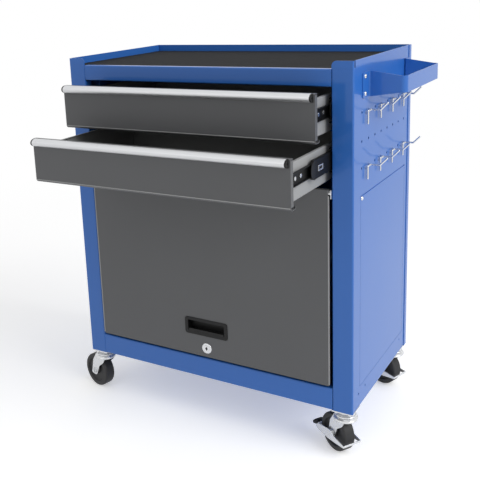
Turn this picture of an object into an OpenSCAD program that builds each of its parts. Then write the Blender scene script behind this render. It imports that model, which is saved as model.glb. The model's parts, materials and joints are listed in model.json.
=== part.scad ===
// Rolling tool cabinet: folded sheet body, two drawers on three-section
// ball-bearing slides, a top-hinged door, a side handle, peg hooks and
// four swivel casters. Millimetres, +Z up, origin on the floor under the
// middle of the body. The front faces -Y and +X is the handle side.

/* [Body] */
// Width over the two side panels
body_w = 610; // [590:1:640]
// Depth from the face of the front to the back
body_d = 333; // [330:1:360]
// Height from the bottom edge to the top of the side rims
body_h = 650; // [640:1:700]
// Thickness of the body sheet
sheet = 1.2; // [1.0:0.1:1.3]
// Width of the front faces beside the opening
stile_w = 39.3; // [38:0.1:42]
// Height of the rims above the top rail
rim_h = 14; // [12:0.5:18]
// Height of the top rail
rail_h = 30.2; // [28:0.1:36]
// Height of the bottom rail
base_rail_h = 44.2; // [40:0.1:50]
// Thickness of the top mat
mat_th = 3; // [2:0.5:4]

/* [Drawers] */
// Height of a drawer front
front_h = 84; // [82:0.5:86]
// Distance from one drawer front to the next
front_pitch = 87.5; // [87.5:0.5:90]
// Gap between the top rail and the upper front
front_top_gap = 2.3; // [2:0.1:3]
// Gap between a drawer front and the side of the opening
front_side_gap = 1; // [0.8:0.1:1.5]
// How far the upper drawer stands open
open_1 = 70; // [40:1:80]
// How far the lower drawer stands open
open_2 = 169; // [150:1:180]
// Depth of a drawer tray behind its front
tray_d = 303.8; // [298:0.1:306]
// Thickness of the drawer sheet
tray_sheet = 1; // [0.8:0.1:1.2]

/* [Slides] */
// Width of a slide from post to drawer side
slide_w = 12.7; // [12.7:0.1:13]
// Length of the outer and inner slide members
slide_len = 300; // [290:1:302]
// Height of the slide centre above the lower edge of a front
slide_up = 44; // [43:0.5:45]
// Number of balls in each row
balls = 7; // [4:1:9]

/* [Door] */
// How far the door stands in front of the body
door_proud = 4.5; // [4:0.5:5]
// Gap at each side of the door
door_side_gap = 5.5; // [5:0.1:6]
// Gap under the door
door_low_gap = 6.4; // [5:0.1:8]
// Gap above the door
door_top_gap = 6.2; // [6:0.1:7]
// Depth of the folded edges of the door
door_d = 10; // [9:0.5:11]
// Diameter of the door pins
pin_d = 5; // [4:0.5:5]

/* [Grips and pull] */
// Height of a grip bar
grip_h = 14.6; // [13:0.2:15]
// Depth of a grip bar
grip_d = 11; // [9:0.5:12]
// Length of a grip bar with its end caps
grip_len = 523; // [500:1:524]
// Width of the finger pull
pull_w = 97.5; // [90:0.5:100]
// Height of the finger pull
pull_h = 35.5; // [33:0.5:38]
// Diameter of the lock rim
lock_d = 22; // [20:0.5:23]

/* [Side handle and hooks] */
// Reach of the side handle from the panel
handle_reach = 66.8; // [55:0.2:75]
// Thickness of the handle strap
handle_th = 1.5; // [1.5:0.1:2.0]
// Diameter of a peg hole
peg_hole_d = 5; // [4.4:0.1:5.5]
// Pitch of the peg holes
peg_pitch = 35.25; // [35:0.05:35.4]
// Diameter of the hook wire
wire_d = 3.4; // [2.8:0.1:3.4]

/* [Casters] */
// Height of a caster
caster_h = 97; // [96.5:0.5:99]
// Diameter of a caster wheel
wheel_d = 75; // [70:0.5:75]
// Width of a caster wheel
wheel_w = 24; // [20:0.5:24]
// How far a wheel trails its swivel
trail = 24; // [20:0.5:25]
// Distance of a swivel from the side of the body
caster_in_x = 21; // [21:0.5:30]
// Distance of a swivel from the front or back of the body
caster_in_y = 20; // [20:0.5:30]
// Turn of the front right caster
turn_fr = 148; // [0:1:359]
// Turn of the front left caster
turn_fl = 166; // [0:1:359]
// Turn of the rear right caster
turn_rr = 160; // [0:1:359]
// Turn of the rear left caster
turn_rl = 155; // [0:1:359]

/* [Hidden] */
$fn = 48;

// Colours
blue = [0.27, 0.44, 0.72];
grey = [0.36, 0.36, 0.37];
pale = [0.62, 0.62, 0.62];
steel = [0.75, 0.75, 0.76];
bright = [0.86, 0.86, 0.87];
black = [0.08, 0.08, 0.08];

// A small amount by which a cutting tool overruns
over = 1;
// Bend radius at the middle of the sheet
bend_r = 1.8;
// Clearance of a running fit
run_gap = 0.05;
// Gap between two sheets that lie end to end
sheet_gap = 0.3;
// How far a piercing tool reaches past a sheet on each side
pierce = 3;

// Faces of the body
half_w = body_w / 2;
inner_w = half_w - sheet;
front_y = -body_d / 2;
back_y = body_d / 2;
low_z = caster_h;
rim_z = low_z + body_h;
rail_top_z = rim_z - rim_h;
open_top_z = rail_top_z - rail_h;
open_low_z = low_z + base_rail_h;
open_w = half_w - stile_w;
flange_d = 18;
base_z = low_z + sheet;
floor_z = base_z + sheet;
tray_top_z = rail_top_z - mat_th - 0.5;
tray_under_z = tray_top_z - sheet;

// Side panel details
corner_r = 2.4;
corner_in = corner_r + sheet / 2;
side_back_y = back_y - bend_r - sheet / 2;
lower_flange = 60;
window_front_in = 36.4;
window_back_in = 32.6;
window_up = 41;
window_down = 240;
window_y0 = front_y + window_front_in;
window_y1 = back_y - window_back_in;
window_z0 = low_z + window_up;
window_z1 = rim_z - window_down;
hem_up = 20;
relief_h = 12;
relief_d = 8;
flange_cut = 3;
skirt_front_in = 30;
skirt_pitch = 37.4;
skirt_back_in = 49.2;
skirt_up = 29;
skirt_hole_y = [
  front_y + skirt_front_in,
  front_y + skirt_front_in + skirt_pitch,
  back_y - skirt_back_in
];
skirt_hole_z = low_z + skirt_up;
seam_gap = 0.8;
top_seam = 2.5;
lap_in = 12;
lap_out = 9;
peg_front_in = 41;
peg_down = 92.5;
peg_drop_2 = 51;
peg_drop_3 = 48;
peg_y0 = front_y + peg_front_in;
peg_rows = [
  rim_z - peg_down,
  rim_z - peg_down - peg_drop_2,
  rim_z - peg_down - peg_drop_2 - peg_drop_3
];
handle_down = 46.5;
handle_front_in = 41;
handle_back_in = 17;
handle_front_foot = 35;
handle_back_foot = 28.5;
handle_z = rim_z - handle_down;
handle_y0 = front_y + handle_front_in;
handle_y1 = handle_y0 + handle_front_foot;
handle_y3 = back_y - handle_back_in;
handle_y2 = handle_y3 - handle_back_foot;
handle_flange_h = 45;
handle_grip_h = 29;
handle_foot_r = 3;
handle_bend_r = 9;
handle_corner_r = 6;
handle_screw_dz = 15;
handle_screw_front = 12.5;
handle_screw_back = 12;
handle_screw_y = [handle_y0 + handle_screw_front, handle_y3 - handle_screw_back];
lap_screw_in = 6.2;
lap_screw_down = 6;
lap_screw = [window_y0 + lap_screw_in, window_z1 - lap_screw_down];
screw_d = 4;
screw_hole_d = 4.2;
pan_r = 4;
pan_h = 2.2;
pan_shank = 8;

// Lips and walls of the body sheets
back_lip = 16;
back_foot = 20;
base_wall = 13;
rail_lip = 15;
rail_foot = 20;
rail_seat = 12;
top_wall = 10;
top_notch = 5;
mat_gap = 0.5;

// Peg hooks
hook_stand = 4.4;
hook_reach = 21;
hook_tip = 13;
hook_step = 16;
hook_tail = 9;
hook_drop = 22;

// Drawer fronts and trays
front_w = open_w - front_side_gap;
low_1 = open_top_z - front_top_gap - front_h;
low_2 = low_1 - front_pitch;
face_1 = front_y - open_1;
face_2 = front_y - open_2;
tray_w = open_w - slide_w;
fold_d = 9.5;
lip_d = 18;
tray_up = 5;
tray_down = 13;
liner_th = 1.5;
tray_rim = 5;
tray_r = 3;
crease = 3.7;
crease_r = 3;

// Grip bars
grip_over = 0.5;
grip_wall = 1.6;
cap_th = 3;
cap_hole_r = 1.6;

// Slide sections, measured inwards from the post
post_w = 22.8;
post_front_in = 46.6;
post_back_in = 74.4;
post_y = [front_y + post_front_in, back_y - post_back_in];
post_under = 6;
post_gap = 2;
curl = 62;
curl_edge = 0.3;
web_bend_r = 1.4;
outer_th = 1.2;
outer_ball_r = 2.3;
outer_ball_u = 6.4;
outer_ball_v = 19.2;
mid_th = 1;
mid_u = 3.9;
inner_ball_r = 2.2;
inner_ball_u = 8.4;
inner_ball_v = 13.5;
inner_th = 1.2;
inner_h = 22.4;
inner_back_u = 6.4;
ball_gap = 0.1;
cage_th = 0.6;
cage_outer_u = 2.3;
cage_inner_u = 5.3;
slide_start = 12;
mid_start = 19.5;
mid_len = 270;
mid_travel_2 = open_2 / 2;
cage_len = 150;
cage_start = 105;
cage_end = 6;
cage_past = 0.3;
nose_r = 17;
nose_w = 5.4;
nose_slot = 24;
nose_floor = 1.2;
slide_head_r = 3.6;
slide_head_h = 1.6;
lever_y = 152;
lever_len = 32;
lever_h = 10;
lever_th = 1.4;
lever_rim = 6;
screw_behind = [37.5, 60];

// Door
door_w = open_w - door_side_gap;
door_face = front_y - door_proud;
door_low_z = open_low_z + door_low_gap;
door_top_z = low_2 - door_top_gap;
hinge_y = front_y + 0.5;
hinge_z = door_top_z - 6;
door_lip = 12;
bracket_th = 1.5;
pin_in = 6;
pin_shoulder = 1.6;
pull_z = low_z + 113.9;
pull_rim = 5;
pull_rim_th = 1.5;
pull_deep = 15;
pull_wall = 2;
lock_z = low_z + 69.8;
cup_w = pull_w - 2 * pull_rim;
cup_h = pull_h - 9;
plug_r = 6.5;
barrel_r = 9;
lock_len = 18;
lock_nut_r = 12;
cam_len = 32;
cam_r = 7;
cam_th = 2;

// Casters
axle_z = wheel_d / 2;
plate_x = 20.5;
plate_y = 19.5;
plate_th = 2.5;
bolt_x = 12.8;
bolt_y = 13.5;
bolt_head_r = 4.4;
bolt_head_h = 3;
nut_h = 3.5;
nut_room = 2.5;
bolt_r = 2.5;
axle_r = 4;
leg_y = 13.6;
leg_th = 2;
axle_nut_r = 6.5;
axle_nut_h = 3;
tread_r = wheel_d / 2;
boss_r = 9.5;
stirrup_y = leg_y + leg_th + axle_nut_h + 0.4;
stirrup_th = 1.5;
stirrup_gap = 6;
axle_cut = 2 * (stirrup_y + stirrup_th) + 2 * over;
bridge_top = -3;
bridge_low = -8;
pedal_w = 22;
pedal_len = 22;
pedal_drop = 11;
pedal_th = 3.5;
king_r = 5;
caster_x = half_w - caster_in_x;
caster_yf = front_y + caster_in_y;
caster_yb = back_y - caster_in_y;

// Folded sheet along a path in the plane, with a square bend at each inner point
function unit(v) = v / norm(v);
function turn_at(p, i) = let (a = p[i] - p[i - 1], b = p[i + 1] - p[i])
  atan2(a[0] * b[1] - a[1] * b[0], a[0] * b[0] + a[1] * b[1]);
function setback(p, r, i) = (i == 0 || i == len(p) - 1) ? 0
  : r[i - 1] * tan(abs(turn_at(p, i)) / 2);
module fold_leg(p, r, th, wide, i) {
  d = unit(p[i + 1] - p[i]);
  a = p[i] + d * setback(p, r, i);
  b = p[i + 1] - d * setback(p, r, i + 1);
  translate([a[0], a[1], 0])
    rotate([0, 0, atan2(d[1], d[0])])
      translate([0, -th / 2, 0])
        cube([norm(b - a), th, wide]);
}

module fold_bend(p, r, th, wide, i) {
  d0 = unit(p[i] - p[i - 1]);
  d1 = unit(p[i + 1] - p[i]);
  turn = turn_at(p, i);
  side = sign(turn);
  c = p[i] - d0 * setback(p, r, i) + r[i - 1] * side * [-d0[1], d0[0]];
  first = side > 0 ? atan2(d0[1], d0[0]) - 90 : atan2(d1[1], d1[0]) + 90;
  translate([c[0], c[1], 0])
    rotate([0, 0, first])
      rotate_extrude(angle = abs(turn))
        translate([r[i - 1] - th / 2, 0])
          square([th, wide]);
}

module folded(p, r, th, wide) {
  for (i = [0 : len(p) - 2]) {
    fold_leg(p, r, th, wide, i);
  }
  for (i = [1 : len(p) - 2]) {
    fold_bend(p, r, th, wide, i);
  }
}

// One edge of a sheet that is rolled to any angle, off to the left of its path
function left_of(v) = [-v[1], v[0]];
function rolled_bend(p, r, i, off) = let (
  d0 = unit(p[i] - p[i - 1]),
  turn = turn_at(p, i),
  side = sign(turn),
  c = p[i] - d0 * setback(p, r, i) + r[i - 1] * side * left_of(d0),
  first = atan2(d0[1], d0[0]) - side * 90,
  reach = r[i - 1] - side * off,
  steps = ceil(abs(turn) / 12)
) [
  for (k = [0 : steps]) let (a = first + turn * k / steps)
    c + reach * [cos(a), sin(a)]
];
function rolled_edge(p, r, off) = let (n = len(p) - 1) concat(
  [p[0] + off * left_of(unit(p[1] - p[0]))],
  [for (i = [1 : n - 1]) each rolled_bend(p, r, i, off)],
  [p[n] + off * left_of(unit(p[n] - p[n - 1]))]
);

// Rolled or folded sheet with bends of any angle
module rolled(p, r, th, wide) {
  near = rolled_edge(p, r, th / 2);
  far = rolled_edge(p, r, -th / 2);
  linear_extrude(height = wide)
    polygon(concat(near, [for (k = [len(far) - 1 : -1 : 0]) far[k]]));
}

// The same with points given as x and z, running from y0 to y1
module rolled_y(p, r, th, y0, y1) {
  translate([0, y1, 0])
    rotate([90, 0, 0])
      rolled(p, r, th, y1 - y0);
}

// The same with points given as y and z, running from x0 to x1
module rolled_x(p, r, th, x0, x1) {
  translate([x0, 0, 0])
    rotate([90, 0, 90])
      rolled(p, r, th, x1 - x0);
}

// Square folds with points given as x and z, running from y0 to y1
module folded_y(p, r, th, y0, y1) {
  translate([0, y1, 0])
    rotate([90, 0, 0])
      folded(p, r, th, y1 - y0);
}

// Square folds with points given as y and z, running from x0 to x1
module folded_x(p, r, th, x0, x1) {
  translate([x0, 0, 0])
    rotate([90, 0, 90])
      folded(p, r, th, x1 - x0);
}

// A box from one corner to the other
module block(a, b) {
  translate(a)
    cube(b - a);
}

// A round bar from one point to another
module bar(a, b, r) {
  v = b - a;
  translate(a)
    rotate([0, acos(v[2] / norm(v)), atan2(v[1], v[0])])
      cylinder(r = r, h = norm(v));
}

module ball(c, r) {
  translate(c)
    sphere(r = r);
}

module both_sides() {
  children();
  mirror([1, 0, 0])
    children();
}

// Side panels

// The two front folds of a side panel, from z0 up by h
module stile_fold(z0, h) {
  plan = [
    [half_w - sheet / 2, front_y + corner_in],
    [half_w - sheet / 2, front_y + sheet / 2],
    [open_w + sheet / 2, front_y + sheet / 2],
    [open_w + sheet / 2, front_y + flange_d]
  ];
  translate([0, 0, z0])
    for (i = [1, 2]) {
      fold_bend(plan, [corner_r, bend_r], sheet, h, i);
      fold_leg(plan, [corner_r, bend_r], sheet, h, i);
    }
}

module side_sheet() {
  hem = [
    [half_w - sheet / 2, low_z + hem_up],
    [half_w - sheet / 2, low_z + sheet / 2],
    [half_w - lower_flange, low_z + sheet / 2]
  ];
  stile_fold(low_z, body_h);
  block(
    [inner_w, front_y + corner_in, low_z + hem_up],
    [half_w, side_back_y, rim_z]
  );
  folded_y(hem, [corner_r], sheet, front_y + corner_in, side_back_y);
}

module lap_strip() {
  difference() {
    block(
      [inner_w - sheet, window_y0 - lap_out, window_z0 - lap_out],
      [inner_w, window_y1 + lap_out, window_z1 + lap_out]
    );
    block(
      [inner_w - sheet - over, window_y0 + lap_in, window_z0 + lap_in],
      [inner_w + over, window_y1 - lap_in, window_z1 - lap_in]
    );
  }
}

module ear_cut() {
  ear_w = 9;
  block(
    [open_w - over, front_y - over, rail_top_z],
    [half_w - ear_w, front_y + corner_in, rim_z + over]
  );
  difference() {
    block(
      [half_w - ear_w - over, front_y - over, rim_z - ear_w],
      [half_w + over, front_y + corner_in, rim_z + over]
    );
    translate([half_w, front_y - 2 * over, rim_z - ear_w])
      rotate([-90, 0, 0])
        cylinder(r = ear_w, h = corner_in + 4 * over);
  }
}

module side_panel() {
  difference() {
    union() {
      difference() {
        side_sheet();
        block(
          [inner_w - over, window_y0, window_z0],
          [half_w + over, window_y1, window_z1]
        );
      }
      lap_strip();
    }
    ear_cut();
    // corner relief behind the ear
    block(
      [inner_w - over, front_y + corner_in, rim_z - relief_h],
      [half_w + over, front_y + relief_d, rim_z + over]
    );
    // room for the top panel above the return flange
    block(
      [open_w - over, front_y + sheet, tray_under_z],
      [open_w + flange_cut, front_y + flange_d + over, rim_z + over]
    );
    // room for the base panel and its nuts below the return flange
    block(
      [open_w - over, front_y + corner_in, base_z],
      [open_w + flange_cut, front_y + flange_d + over, floor_z + nut_h + nut_room]
    );
    side_hole(lap_screw[0], lap_screw[1], screw_hole_d);
    for (sx = [-1, 1]) {
      for (sy = [-1, 1]) {
        caster_bolt_hole(sx * bolt_x, caster_yf + sy * bolt_y);
        caster_bolt_hole(sx * bolt_x, caster_yb + sy * bolt_y);
      }
    }
  }
}

module caster_bolt_hole(dx, y) {
  translate([caster_x + dx, y, low_z - over])
    cylinder(r = bolt_r + run_gap, h = 2 * sheet + 2 * over);
}

module side_hole(y, z, d) {
  translate([inner_w - pierce, y, z])
    rotate([0, 90, 0])
      cylinder(d = d, h = sheet + 2 * pierce);
}

module left_side_panel() {
  color(blue)
    mirror([1, 0, 0])
      side_panel();
}

module right_side_panel() {
  color(blue)
    difference() {
      side_panel();
      for (z = peg_rows) {
        for (i = [0 : 7]) {
          side_hole(peg_y0 + i * peg_pitch, z, peg_hole_d);
        }
      }
      for (y = handle_screw_y) {
        side_hole(y, handle_z - handle_screw_dz, screw_hole_d);
        side_hole(y, handle_z + handle_screw_dz, screw_hole_d);
      }
      for (y = skirt_hole_y) {
        side_hole(y, skirt_hole_z, screw_d);
      }
    }
}

module lower_panel() {
  difference() {
    block(
      [inner_w, window_y0 + seam_gap, window_z0 + seam_gap],
      [half_w, window_y1 - seam_gap, window_z1 - top_seam]
    );
    side_hole(lap_screw[0], lap_screw[1], screw_hole_d);
  }
}

module lower_side_panels() {
  color(blue)
    both_sides()
      lower_panel();
}

// Back, base, rails and top

module back_panel() {
  lip_y = back_y - back_lip;
  plan = [
    [half_w + sheet / 2, lip_y],
    [half_w + sheet / 2, back_y - sheet / 2],
    [-half_w - sheet / 2, back_y - sheet / 2],
    [-half_w - sheet / 2, lip_y]
  ];
  foot_w = half_w - lower_flange - sheet;
  color(blue) {
    translate([0, 0, low_z])
      folded(plan, [bend_r, bend_r], sheet, body_h);
    block([-foot_w, back_y - back_foot, low_z], [foot_w, back_y - sheet / 2, base_z]);
  }
}

module base_panel() {
  w = inner_w - sheet / 2;
  profile = [
    [w, floor_z + base_wall],
    [w, floor_z - sheet / 2],
    [-w, floor_z - sheet / 2],
    [-w, floor_z + base_wall]
  ];
  y0 = front_y + corner_in + sheet_gap;
  y1 = back_y - sheet;
  color(blue)
    difference() {
      union() {
        folded_y(profile, [bend_r, bend_r], sheet, y0, y1);
        block([-w + 3, y1 - sheet, base_z], [w - 3, y1, floor_z + base_wall]);
      }
      both_sides() {
        for (sx = [-1, 1]) {
          for (sy = [-1, 1]) {
            caster_bolt_hole(sx * bolt_x, caster_yf + sy * bolt_y);
            caster_bolt_hole(sx * bolt_x, caster_yb + sy * bolt_y);
          }
        }
      }
    }
}

module bottom_rail() {
  profile = [
    [front_y + rail_lip, open_low_z - sheet / 2],
    [front_y + sheet / 2, open_low_z - sheet / 2],
    [front_y + sheet / 2, low_z + sheet / 2],
    [front_y + rail_foot, low_z + sheet / 2]
  ];
  w = open_w - sheet_gap;
  foot_w = half_w - lower_flange - sheet_gap;
  color(blue)
    difference() {
      folded_x(profile, [corner_r, corner_r], sheet, -w, w);
      both_sides()
        block(
          [foot_w, front_y + corner_in, low_z - over],
          [open_w, front_y + rail_foot + over, base_z + over]
        );
    }
}

module top_rail() {
  profile = [
    [front_y + rail_lip, open_top_z + sheet / 2],
    [front_y + sheet / 2, open_top_z + sheet / 2],
    [front_y + sheet / 2, rail_top_z - sheet / 2],
    [front_y + rail_seat, rail_top_z - sheet / 2]
  ];
  w = open_w - sheet_gap;
  color(blue)
    folded_x(profile, [bend_r, bend_r], sheet, -w, w);
}

module top_panel() {
  w = inner_w - sheet / 2;
  profile = [
    [w, tray_top_z - top_wall],
    [w, tray_top_z - sheet / 2],
    [-w, tray_top_z - sheet / 2],
    [-w, tray_top_z - top_wall]
  ];
  color(blue)
    difference() {
      folded_y(profile, [bend_r, bend_r], sheet, front_y + sheet, back_y - sheet);
      both_sides()
        block(
          [half_w - top_notch, front_y, tray_top_z - top_wall - over],
          [half_w, front_y + top_notch, tray_top_z + over]
        );
    }
}

module top_mat() {
  mat_w = inner_w - mat_gap;
  color(grey)
    block(
      [-mat_w, front_y + rail_seat + mat_gap, tray_top_z],
      [mat_w, back_y - sheet - mat_gap, tray_top_z + mat_th]
    );
}

// Slides

module slide_post(y) {
  plan = [
    [inner_w, y],
    [open_w + sheet / 2, y],
    [open_w + sheet / 2, y + post_w],
    [inner_w, y + post_w]
  ];
  z0 = low_2 - post_under;
  z1 = open_top_z - post_gap;
  translate([0, 0, z0])
    folded(plan, [bend_r, bend_r], sheet, z1 - z0);
}

module slide_posts() {
  color(blue)
    both_sides() {
      for (y = post_y) {
        slide_post(y);
      }
    }
}

// Section points from the post: u inwards, v from the centre of the slide
function at_u(u) = open_w - u;

// A channel whose ends curl round a row of balls
module curled_channel(low, u, th, bu, bv, br, y0, y1) {
  r = br + ball_gap + th / 2;
  tip = r * tan(curl / 2);
  v = bv + r;
  end_u = bu + tip + (tip + curl_edge) * cos(curl);
  end_v = v - (tip + curl_edge) * sin(curl);
  section = [
    [at_u(end_u), low + end_v],
    [at_u(bu + tip), low + v],
    [at_u(u), low + v],
    [at_u(u), low - v],
    [at_u(bu + tip), low - v],
    [at_u(end_u), low - end_v]
  ];
  rolled_y(section, [r, web_bend_r, web_bend_r, r], th, y0, y1);
}

module slide_outer(z) {
  y0 = front_y + slide_start;
  curled_channel(
    z, outer_th / 2, outer_th, outer_ball_u, outer_ball_v, outer_ball_r,
    y0, y0 + slide_len
  );
}

module slide_outers() {
  color(steel)
    both_sides() {
      slide_outer(low_1 + slide_up);
      slide_outer(low_2 + slide_up);
    }
}

module slide_middle(z, shift) {
  y0 = front_y + mid_start - shift;
  curled_channel(
    z, mid_u, mid_th, inner_ball_u, inner_ball_v, inner_ball_r,
    y0, y0 + mid_len
  );
}

// Rounded plastic nose on the front end of a middle member
module slide_nose(z, shift) {
  y0 = front_y + mid_start - shift;
  web_u = mid_u - mid_th / 2;
  difference() {
    translate([at_u(web_u + nose_w), y0, z])
      rotate([0, 90, 0])
        cylinder(r = nose_r, h = nose_w);
    block(
      [at_u(web_u + nose_w + over), y0, z - nose_r - over],
      [at_u(web_u - over), y0 + nose_r + over, z + nose_r + over]
    );
    block(
      [at_u(web_u + nose_w + over), y0 - nose_r - over, z - nose_slot / 2],
      [at_u(web_u + nose_floor), y0 + over, z + nose_slot / 2]
    );
  }
}

module slide_inner(z, face) {
  y0 = face + sheet + tray_sheet + sheet_gap;
  u0 = slide_w - inner_th / 2;
  v = inner_h / 2 - inner_th / 2;
  section = [
    [at_u(inner_back_u), z + v],
    [at_u(u0), z + v],
    [at_u(u0), z - v],
    [at_u(inner_back_u), z - v]
  ];
  difference() {
    folded_y(section, [bend_r, bend_r], inner_th, y0, y0 + slide_len);
    slide_screw_holes(z, face);
  }
}

module slide_screw_holes(z, face) {
  for (y = screw_behind) {
    translate([at_u(slide_w + 2 * tray_sheet), face + y, z])
      rotate([0, 90, 0])
        cylinder(d = screw_hole_d, h = 2 * tray_sheet + 2 * inner_th);
  }
}

module slide_screw(z, face) {
  head_u = slide_w - inner_th;
  for (y = screw_behind) {
    translate([at_u(head_u), face + y, z])
      rotate([0, 90, 0])
        cylinder(r = slide_head_r, h = slide_head_h);
    translate([at_u(slide_w + tray_sheet + 1), face + y, z])
      rotate([0, 90, 0])
        cylinder(d = screw_d, h = inner_th + tray_sheet + 1.2);
  }
}

// Release lever lying in the inner member
module slide_lever(z, face) {
  u1 = slide_w - inner_th;
  y0 = face + lever_y;
  difference() {
    block([at_u(u1), y0, z - lever_h / 2], [at_u(u1 - lever_th), y0 + lever_len, z + lever_h / 2]);
    block(
      [at_u(u1 - lever_th / 2), y0 + lever_rim, z - lever_h / 4],
      [at_u(u1 - lever_th - over), y0 + lever_len - lever_rim, z + lever_h / 4]
    );
  }
}

// Ball cage: a thin channel with its two rows of balls
module ball_cage(z, u, bu, bv, br, y0) {
  tip_u = bu + br + cage_past;
  section = [
    [at_u(tip_u), z + bv],
    [at_u(u), z + bv],
    [at_u(u), z - bv],
    [at_u(tip_u), z - bv]
  ];
  folded_y(section, [0.8, 0.8], cage_th, y0, y0 + cage_len);
  for (i = [0 : balls - 1]) {
    y = y0 + cage_end + i * (cage_len - 2 * cage_end) / (balls - 1);
    ball([at_u(bu), y, z + bv], br);
    ball([at_u(bu), y, z - bv], br);
  }
}

module outer_cages(z, shift) {
  both_sides()
    ball_cage(
      z, cage_outer_u, outer_ball_u, outer_ball_v, outer_ball_r,
      front_y + cage_start - shift
    );
}

module inner_cages(z, shift) {
  both_sides()
    ball_cage(
      z, cage_inner_u, inner_ball_u, inner_ball_v, inner_ball_r,
      front_y + cage_start - shift
    );
}

// Drawer parts, each for its own height and opening

module drawer_tray(low, face) {
  z0 = low + tray_up + tray_sheet / 2;
  z1 = low + front_h - tray_down - tray_sheet / 2;
  w = tray_w - tray_sheet / 2;
  profile = [
    [w - tray_rim, z1],
    [w, z1],
    [w, z0],
    [-w, z0],
    [-w, z1],
    [-w + tray_rim, z1]
  ];
  end_w = tray_w - tray_sheet - sheet_gap;
  y0 = face + sheet;
  color(pale)
    difference() {
      union() {
        folded_y(profile, [1.5, tray_r, tray_r, 1.5], tray_sheet, y0, y0 + tray_d);
        block([-end_w, y0, z0], [end_w, y0 + tray_sheet, z1]);
        block([-end_w, y0 + tray_d - tray_sheet, z0], [end_w, y0 + tray_d, z1]);
      }
      both_sides()
        slide_screw_holes(low + slide_up, face);
    }
}

module drawer_front(low, face) {
  z1 = low + front_h;
  lip = [
    [face + lip_d, low + tray_up],
    [face + lip_d, low + sheet / 2],
    [face + crease, low + sheet / 2],
    [face + sheet / 2, low + crease],
    [face + sheet / 2, z1 - sheet / 2],
    [face + fold_d, z1 - sheet / 2]
  ];
  color(grey) {
    rolled_x(lip, [bend_r, crease_r, crease_r, bend_r], sheet, -front_w, front_w);
    both_sides()
      block(
        [front_w - sheet, face + sheet / 2, low + 6],
        [front_w, face + fold_d, z1 - bend_r - sheet / 2]
      );
  }
}

// D section of the grip bar as y and z points about its middle
function grip_points(d, h) = [
  for (i = [0 : 24]) let (a = 90 + i * 7.5) [d * cos(a), h / 2 * sin(a)]
];

module grip_section(d, h, x0, x1, y, z) {
  translate([x0, y, z])
    rotate([90, 0, 90])
      linear_extrude(height = x1 - x0)
        polygon(grip_points(d, h));
}

module drawer_grip(low, face) {
  z = low + front_h + grip_over - grip_h / 2;
  w = grip_len / 2 - cap_th;
  d_in = grip_d - 2 * grip_wall;
  h_in = grip_h - 2 * grip_wall;
  color(bright)
    difference() {
      grip_section(grip_d, grip_h, -w, w, face, z);
      grip_section(d_in, h_in, -w - over, w + over, face - grip_wall, z);
    }
}

module grip_caps(low, face) {
  z = low + front_h + grip_over - grip_h / 2;
  w = grip_len / 2;
  color(black)
    both_sides()
      difference() {
        grip_section(grip_d, grip_h, w - cap_th, w, face, z);
        translate([w - cap_th / 2, face - grip_d * 0.45, z])
          rotate([0, 90, 0])
            cylinder(r = cap_hole_r, h = cap_th);
      }
}

module drawer_liner(low, face) {
  w = tray_w - tray_sheet - tray_r;
  z = low + tray_up + tray_sheet;
  y0 = face + sheet + tray_sheet + 1;
  color(black)
    block([-w, y0, z], [w, y0 + tray_d - 2 * tray_sheet - 2, z + liner_th]);
}

// Side handle, hooks and screws

module side_handle() {
  z0 = handle_z - handle_flange_h / 2;
  base = half_w + handle_th / 2;
  reach = half_w + handle_reach - handle_th / 2;
  plan = [
    [base, handle_y0],
    [base, handle_y1 - handle_th / 2],
    [reach, handle_y1 - handle_th / 2],
    [reach, handle_y2 + handle_th / 2],
    [base, handle_y2 + handle_th / 2],
    [base, handle_y3]
  ];
  bends = [handle_foot_r, handle_bend_r, handle_bend_r, handle_foot_r];
  outline = [
    [half_w - over, z0],
    [half_w + handle_foot_r, z0],
    [reach - handle_bend_r, handle_z - handle_grip_h / 2],
    [reach + handle_th, handle_z - handle_grip_h / 2],
    [reach + handle_th, handle_z + handle_grip_h / 2],
    [reach - handle_bend_r, handle_z + handle_grip_h / 2],
    [half_w + handle_foot_r, z0 + handle_flange_h],
    [half_w - over, z0 + handle_flange_h]
  ];
  color(blue)
    difference() {
      intersection() {
        translate([0, 0, z0])
          folded(plan, bends, handle_th, handle_flange_h);
        translate([0, back_y, 0])
          rotate([90, 0, 0])
            linear_extrude(height = body_d)
              polygon(outline);
      }
      for (y = handle_screw_y) {
        for (s = [-1, 1]) {
          translate([half_w - over, y, handle_z + s * handle_screw_dz])
            rotate([0, 90, 0])
              cylinder(d = screw_hole_d, h = handle_th + 2 * over);
        }
      }
      for (s = [-1, 1]) {
        flange_corner(handle_y0, s, 1);
        flange_corner(handle_y3, s, -1);
      }
    }
}

// Rounds one outer corner of a handle flange
module flange_corner(y, s, inward) {
  r = handle_corner_r;
  z = handle_z + s * (handle_flange_h / 2 - r);
  cy = y + inward * r;
  y_out = y - inward * over;
  z_out = handle_z + s * (handle_flange_h / 2 + over);
  difference() {
    block(
      [half_w - over, min(y_out, cy), min(z, z_out)],
      [half_w + handle_th + over, max(y_out, cy), max(z, z_out)]
    );
    translate([half_w - 2 * over, cy, z])
      rotate([0, 90, 0])
        cylinder(r = r, h = handle_th + 4 * over);
  }
}

module pan_screw(x, y, z) {
  translate([x, y, z])
    rotate([0, 90, 0])
      cylinder(r1 = pan_r, r2 = 0.65 * pan_r, h = pan_h);
  translate([x - pan_shank, y, z])
    rotate([0, 90, 0])
      cylinder(d = screw_d, h = pan_shank + pan_h / 2);
}

module body_screws() {
  color(bright) {
    for (y = handle_screw_y) {
      for (s = [-1, 1]) {
        pan_screw(half_w + handle_th, y, handle_z + s * handle_screw_dz);
      }
    }
    both_sides()
      pan_screw(half_w, lap_screw[0], lap_screw[1]);
  }
}

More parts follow.
